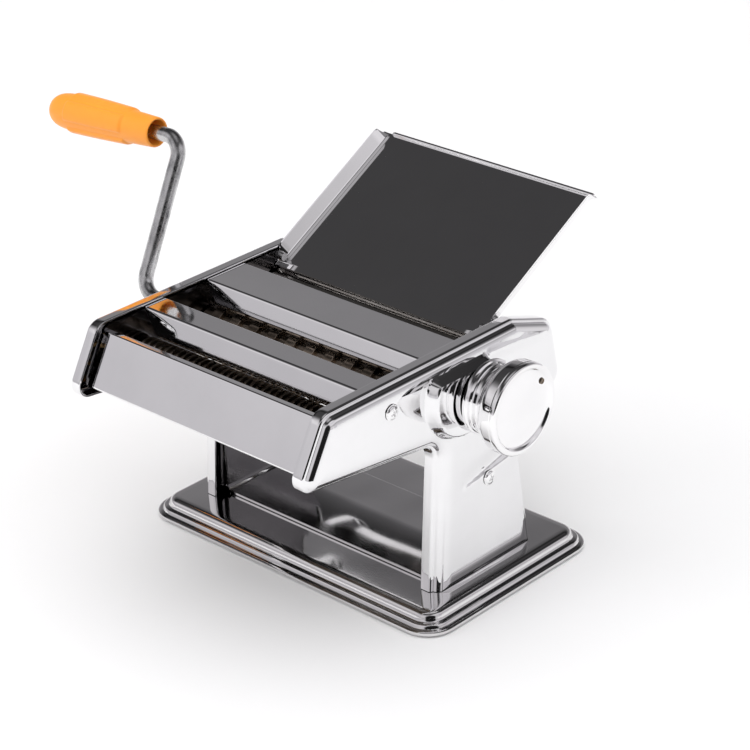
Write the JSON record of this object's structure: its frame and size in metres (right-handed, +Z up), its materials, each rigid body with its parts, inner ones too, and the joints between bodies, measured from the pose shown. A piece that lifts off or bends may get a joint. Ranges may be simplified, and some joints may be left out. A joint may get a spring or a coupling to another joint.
{
  "type": "pasta roller machine",
  "caption": "Hand-cranked dough roller and noodle cutter on a pressed base, with slanted feed tray, adjuster knob and plug-in crank with a plastic grip.",
  "frame": {"origin": "on the standing surface, under the middle of the machine's bounding box", "axes": "+X across the rollers towards the adjuster knob, -X towards the crank; +Y towards the back, where the feed tray rises; +Z up"},
  "size_m": [0.3386, 0.229, 0.198],
  "materials": {
    "chrome_sheet": "mirror polished",
    "zinc_steel": "zinc plated",
    "dark_steel": "machined, dull",
    "bronze": "sintered",
    "orange_plastic": "satin moulded",
    "black_rubber": "matt",
    "spring_steel": "bright"
  },
  "bodies": {
    "chassis": {"base_plate": "chrome_sheet", "rubber_foot_front_left": "black_rubber", "rubber_foot_front_right": "black_rubber", "rubber_foot_rear_left": "black_rubber", "rubber_foot_rear_right": "black_rubber", "stand_bracket": "chrome_sheet", "left_side_panel": "chrome_sheet", "right_side_panel": "chrome_sheet", "left_inner_plate": "zinc_steel", "right_inner_plate": "zinc_steel", "front_tie_rod": "zinc_steel", "middle_tie_rod": "zinc_steel", "lower_tie_rod": "zinc_steel", "tray_rest_rod": "zinc_steel", "upper_screw_left": "zinc_steel", "upper_screw_right": "zinc_steel", "lower_screw_left": "zinc_steel", "lower_screw_right": "zinc_steel", "front_apron": "chrome_sheet", "middle_cover": "chrome_sheet", "rear_cover": "chrome_sheet", "rear_guard": "chrome_sheet", "tray_pin_left": "zinc_steel", "tray_pin_right": "zinc_steel", "smooth_scraper_front": "zinc_steel", "smooth_scraper_rear": "zinc_steel", "smooth_rear_bush_left": "bronze", "smooth_rear_bush_right": "bronze", "wide_front_bush_left": "bronze", "wide_front_bush_right": "bronze", "wide_rear_bush_left": "bronze", "wide_rear_bush_right": "bronze", "narrow_front_bush_left": "bronze", "narrow_front_bush_right": "bronze", "narrow_rear_bush_left": "bronze", "narrow_rear_bush_right": "bronze"},
    "roller_carriers": {"smooth_front_bush_left": "bronze", "smooth_front_bush_right": "bronze"},
    "front_smooth_roller": {"smooth_roller_front": "dark_steel", "smooth_gear_front": "zinc_steel"},
    "rear_smooth_roller": {"smooth_roller_rear": "dark_steel", "smooth_gear_rear": "zinc_steel"},
    "rear_wide_cutter": {"wide_cutter_rear": "dark_steel", "wide_gear_rear": "zinc_steel"},
    "front_wide_cutter": {"wide_cutter_front": "dark_steel", "wide_gear_front": "zinc_steel"},
    "rear_narrow_cutter": {"narrow_cutter_rear": "dark_steel", "narrow_gear_rear": "zinc_steel"},
    "front_narrow_cutter": {"narrow_cutter_front": "dark_steel", "narrow_gear_front": "zinc_steel"},
    "crank": {"crank_rod": "zinc_steel"},
    "grip": {"crank_grip": "orange_plastic"},
    "spindle": {"adjuster_spindle": "zinc_steel", "knob_spring": "spring_steel"},
    "knob": {"adjuster_knob": "chrome_sheet"},
    "tray": {"feed_tray": "chrome_sheet"}
  },
  "joints": [
    {"name": "smooth_rear_spin", "type": "hinge", "parent": "chassis", "child": "rear_smooth_roller", "pos_m": [0.05331, 0.02684, 0.1133], "axis": [1, 0, 0], "continuous": true},
    {"name": "gap_slide", "type": "slide", "parent": "chassis", "child": "roller_carriers", "axis": [0, -1, 0], "range_m": [0, 0.0024]},
    {"name": "smooth_front_spin", "type": "hinge", "parent": "roller_carriers", "child": "front_smooth_roller", "pos_m": [0.05331, 0.00204, 0.1133], "axis": [1, 0, 0], "continuous": true},
    {"name": "wide_rear_spin", "type": "hinge", "parent": "chassis", "child": "rear_wide_cutter", "pos_m": [0.05331, -0.02406, 0.114], "axis": [1, 0, 0], "continuous": true},
    {"name": "wide_front_spin", "type": "hinge", "parent": "chassis", "child": "front_wide_cutter", "pos_m": [0.05331, -0.04146, 0.114], "axis": [1, 0, 0], "continuous": true},
    {"name": "narrow_rear_spin", "type": "hinge", "parent": "chassis", "child": "rear_narrow_cutter", "pos_m": [0.05331, -0.07056, 0.112], "axis": [1, 0, 0], "continuous": true},
    {"name": "narrow_front_spin", "type": "hinge", "parent": "chassis", "child": "front_narrow_cutter", "pos_m": [0.05331, -0.08796, 0.112], "axis": [1, 0, 0], "continuous": true},
    {"name": "crank_pull_out", "type": "slide", "parent": "rear_wide_cutter", "child": "crank", "axis": [-1, 0, 0], "range_m": [0, 0.04]},
    {"name": "grip_spin", "type": "hinge", "parent": "crank", "child": "grip", "pos_m": [-0.08965, 0.01097, 0.18911], "axis": [-0.9982, -0.0251, -0.0537], "continuous": true},
    {"name": "adjuster_turn", "type": "hinge", "parent": "chassis", "child": "spindle", "pos_m": [0.05331, 0.00204, 0.1133], "axis": [1, 0, 0], "range_deg": [0, 280]},
    {"name": "knob_pull", "type": "slide", "parent": "spindle", "child": "knob", "axis": [1, 0, 0], "range_m": [0, 0.004], "stiffness_N_per_m": 900, "deforming": ["knob_spring"]},
    {"name": "tray_lift", "type": "slide", "parent": "chassis", "child": "tray", "axis": [0, 0.8771, 0.4802], "range_m": [0, 0.11]}
  ],
  "couplings": [
    {"joint": "smooth_front_spin", "follows": "smooth_rear_spin", "ratio": -1},
    {"joint": "wide_front_spin", "follows": "wide_rear_spin", "ratio": -1},
    {"joint": "narrow_front_spin", "follows": "narrow_rear_spin", "ratio": -1},
    {"joint": "gap_slide", "follows": "adjuster_turn", "m_per_rad": 0.00048906}
  ]
}
